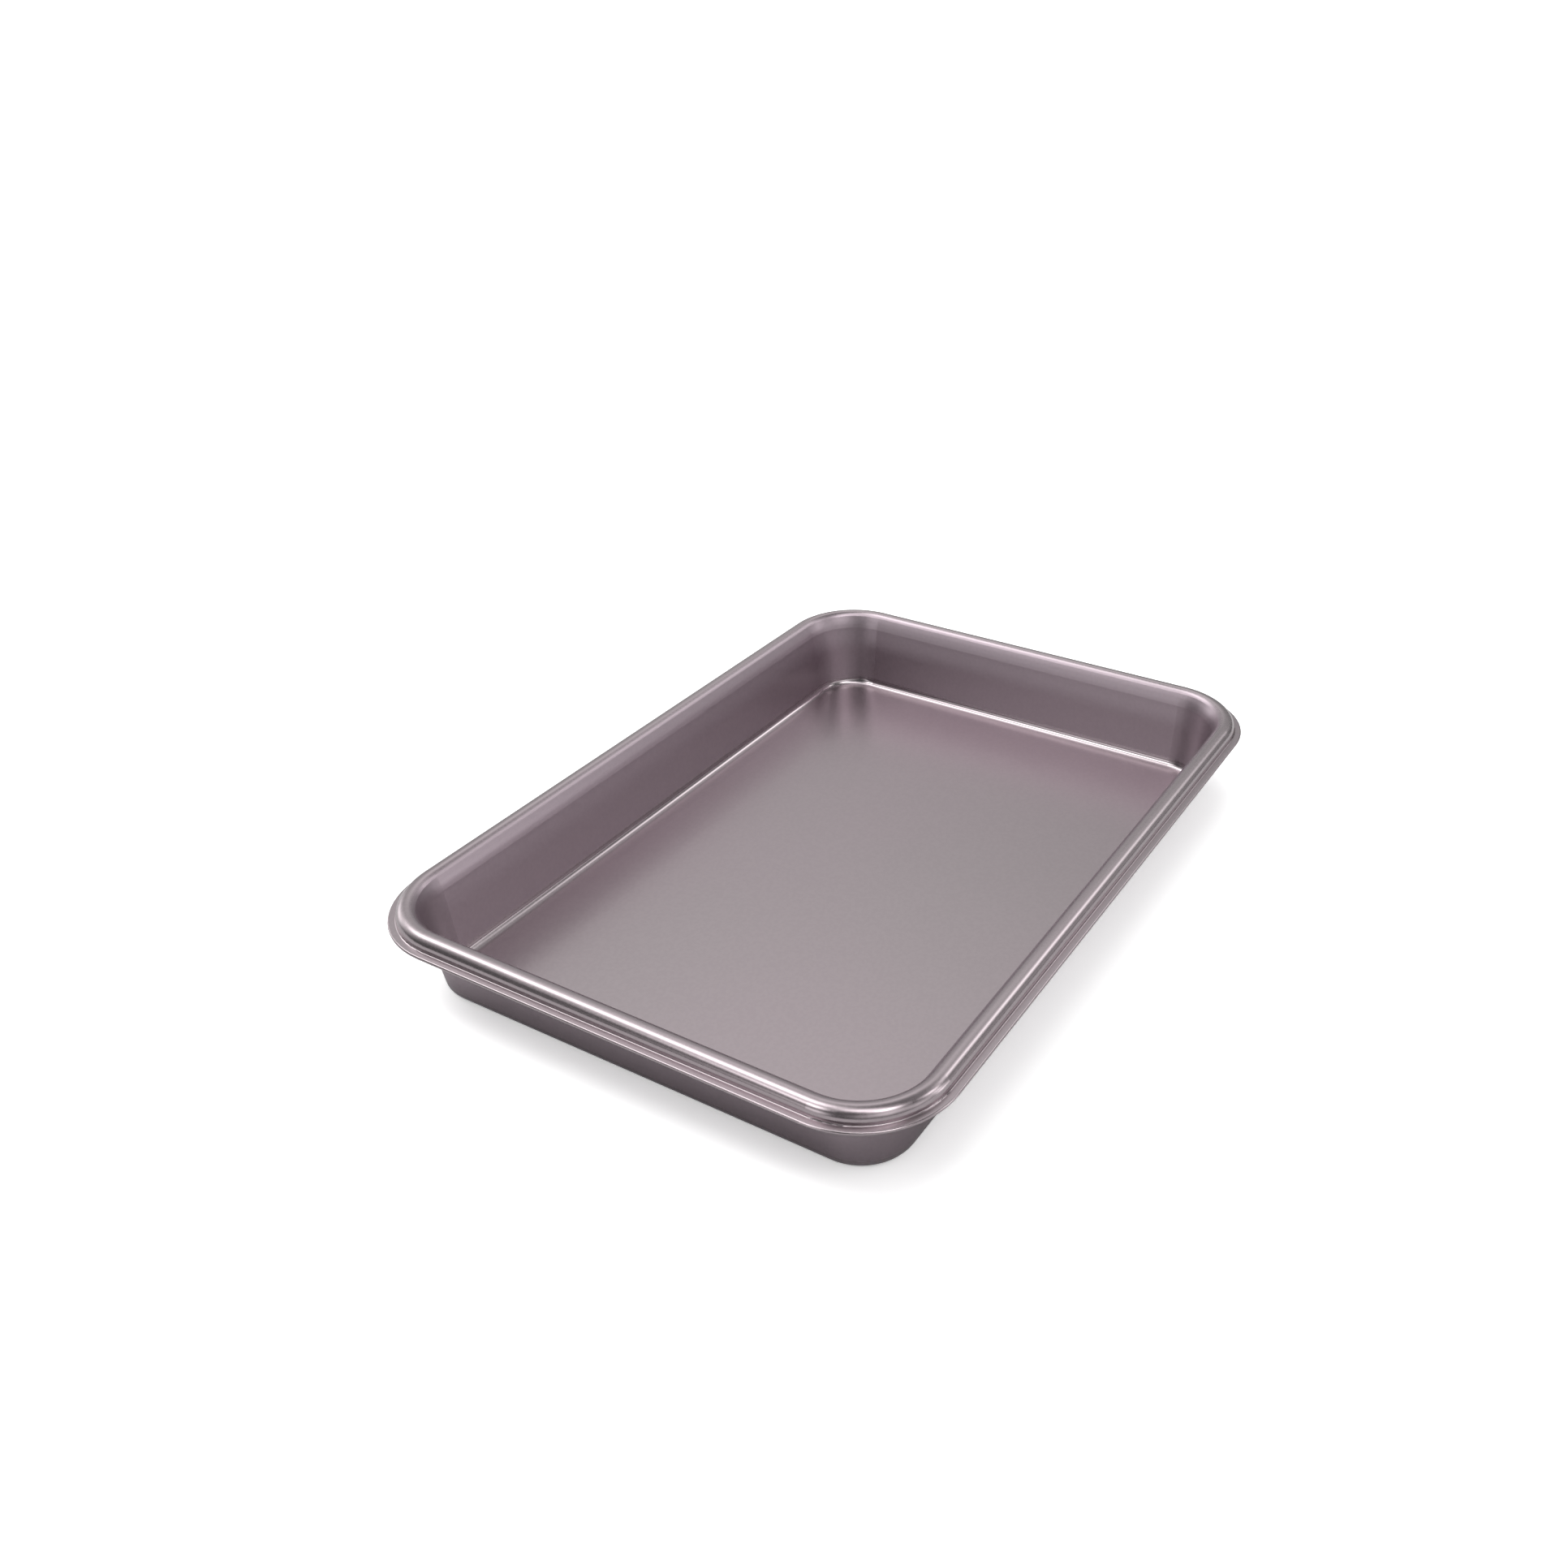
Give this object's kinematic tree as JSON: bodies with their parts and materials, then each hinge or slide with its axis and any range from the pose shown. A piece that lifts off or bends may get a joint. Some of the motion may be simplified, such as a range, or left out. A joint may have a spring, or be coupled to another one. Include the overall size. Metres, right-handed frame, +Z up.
{
  "type": "jelly roll pan",
  "caption": "Shallow rectangular baking pan with rounded corners, leaning walls, a rolled bead rim and a narrow folded flange, for sheet cakes and bakes.",
  "frame": {"origin": "centre of the pan's underside, on the table it stands on", "axes": "+X along the pan's length, +Y across it, +Z up towards the opening"},
  "size_m": [0.3546, 0.2536, 0.0402],
  "materials": {
    "coated_steel": "satin mauve-grey non-stick coating on carbon steel",
    "bare_wire": "drawn steel wire"
  },
  "bodies": {
    "root": {"pan_shell": "coated_steel", "rim_wire": "bare_wire"}
  },
  "joints": []
}
